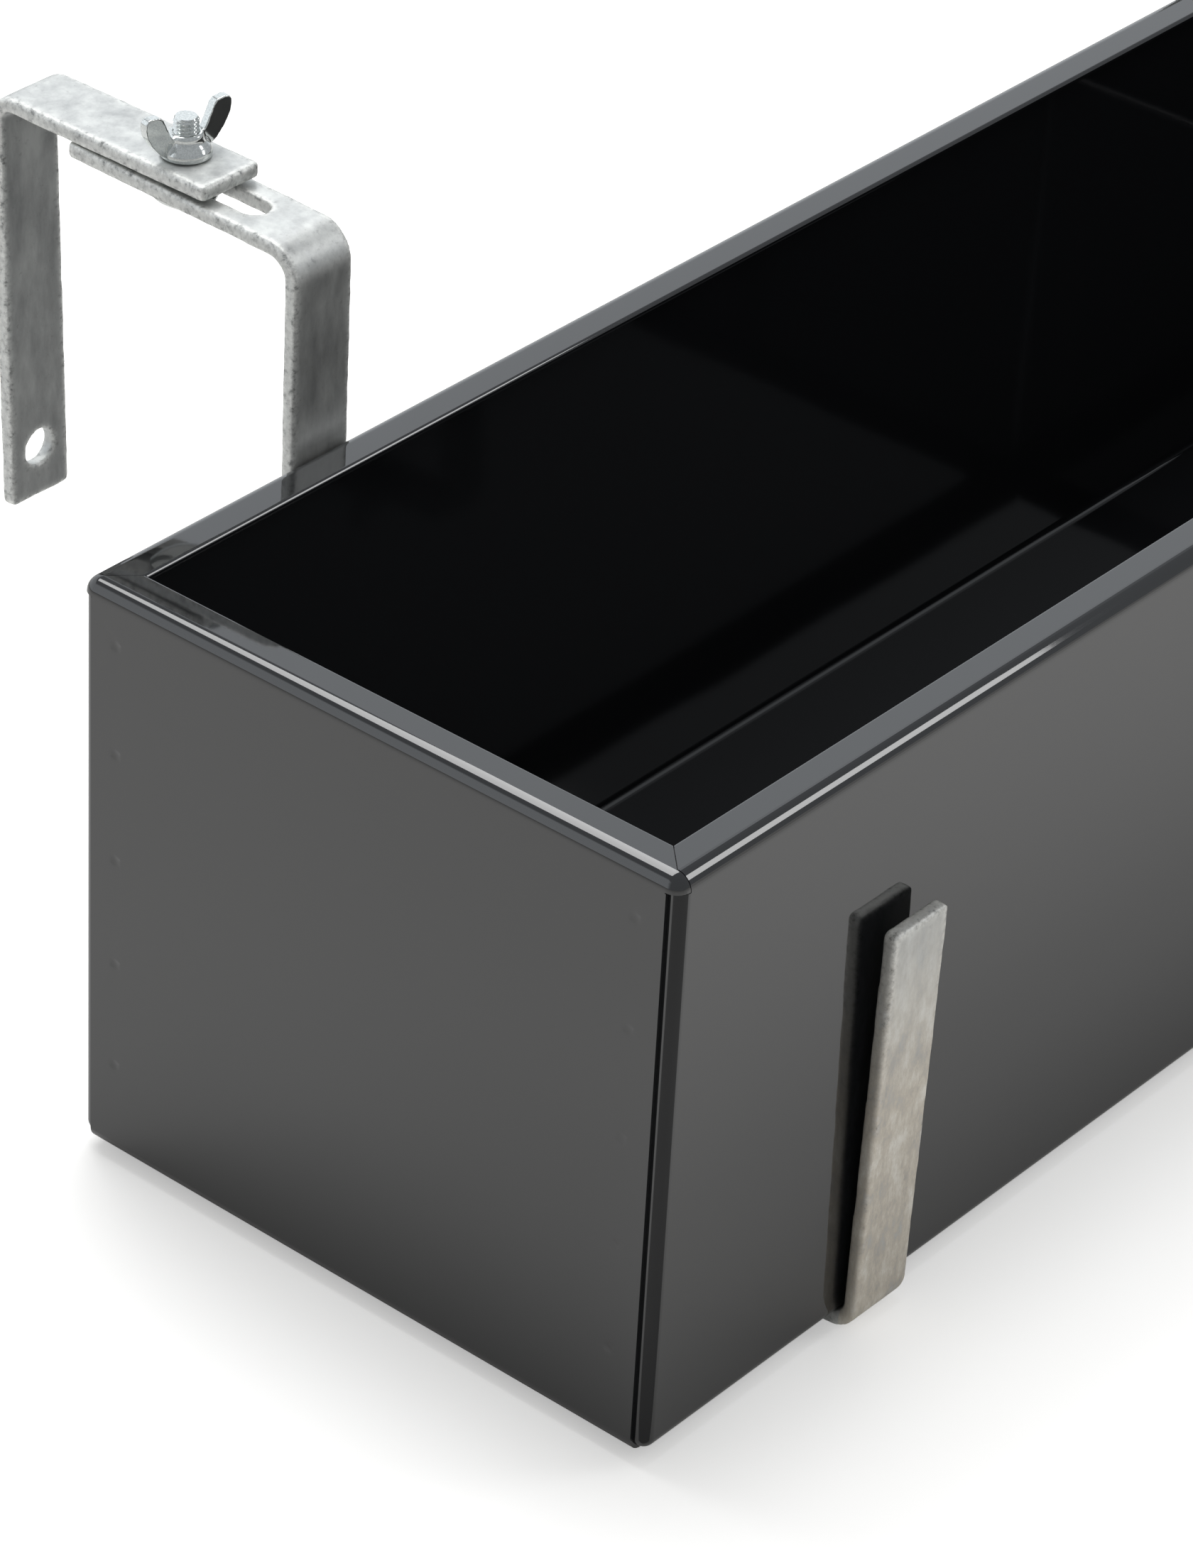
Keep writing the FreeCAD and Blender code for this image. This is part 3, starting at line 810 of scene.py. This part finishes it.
def softbox(name, place, size, roll, brightness):
    """A rectangular lamp at a place, facing the near end of the planter."""
    heading = (Vector(place) - AIM).normalized()
    lamp = bpy.data.lights.new(name, "AREA")
    lamp.shape = "RECTANGLE"
    lamp.size, lamp.size_y = size
    lamp.energy = brightness * math.pi * size[0] * size[1]
    holder = bpy.data.objects.new(name, lamp)
    facing = heading.to_track_quat("Z", "Y").to_matrix().to_4x4()
    rolled = Matrix.Rotation(math.radians(roll), 4, "Z")
    holder.matrix_world = Matrix.Translation(place) @ facing @ rolled
    holder.visible_camera = False
    bpy.context.scene.collection.objects.link(holder)
    print(name, "lamp of", round(lamp.energy, 1), "W")
    return holder


softbox("key", place=(0.03, 0.74, 1.77), size=(1.46, 0.73), roll=14.6, brightness=4.6)
softbox("strip", place=(1.45, -1.52, 1.63), size=(0.43, 1.33), roll=-36.0, brightness=4.6)
top_lamp = softbox("top", place=(-0.15, 0.05, 1.80), size=(0.60, 0.60), roll=0.0, brightness=9.0)
top_lamp.visible_glossy = False

# %% [markdown]
# The camera stands to the left of the planter's front and looks down on its near corner. Its place
# and angles come from the picture's straight edges, and its long lens keeps them nearly parallel. Its
# place is told by three steps from the box's lower left front corner, along its own directions: to
# its right, up in its picture and back to where it stands.

# %% Camera
AZIMUTH = math.radians(-51.50)
ELEVATION = math.radians(33.52)
ROLL = math.radians(3.26)
FOCAL_PIXELS = 8403.08
PICTURE_HEIGHT = 2209
SENSOR = 36.0
STEP_RIGHT = -0.01295
STEP_UP = 0.19358
STEP_BACK = 1.71296


def make_camera():
    """The camera, at its distance from the box's lower left front corner."""
    back = Vector((math.sin(AZIMUTH) * math.cos(ELEVATION),
                   -math.cos(AZIMUTH) * math.cos(ELEVATION), math.sin(ELEVATION)))
    level = Vector((0, 0, 1)).cross(back).normalized()
    upright = back.cross(level)
    right = level * math.cos(ROLL) + upright * math.sin(ROLL)
    up = upright * math.cos(ROLL) - level * math.sin(ROLL)
    data = bpy.data.cameras.new("camera")
    data.sensor_width = SENSOR
    data.lens = FOCAL_PIXELS * SENSOR / PICTURE_HEIGHT
    holder = bpy.data.objects.new("camera", data)
    corner = Vector((end_low.x, box_low.y, box_low.z))
    place = corner + right * STEP_RIGHT + up * STEP_UP + back * STEP_BACK
    turned = Matrix((right, up, back)).transposed().to_4x4()
    holder.matrix_world = Matrix.Translation(place) @ turned
    bpy.context.scene.collection.objects.link(holder)
    bpy.context.scene.camera = holder
    print("camera at", [round(v, 4) for v in place])


make_camera()
bpy.context.scene.view_settings.view_transform = "Standard"
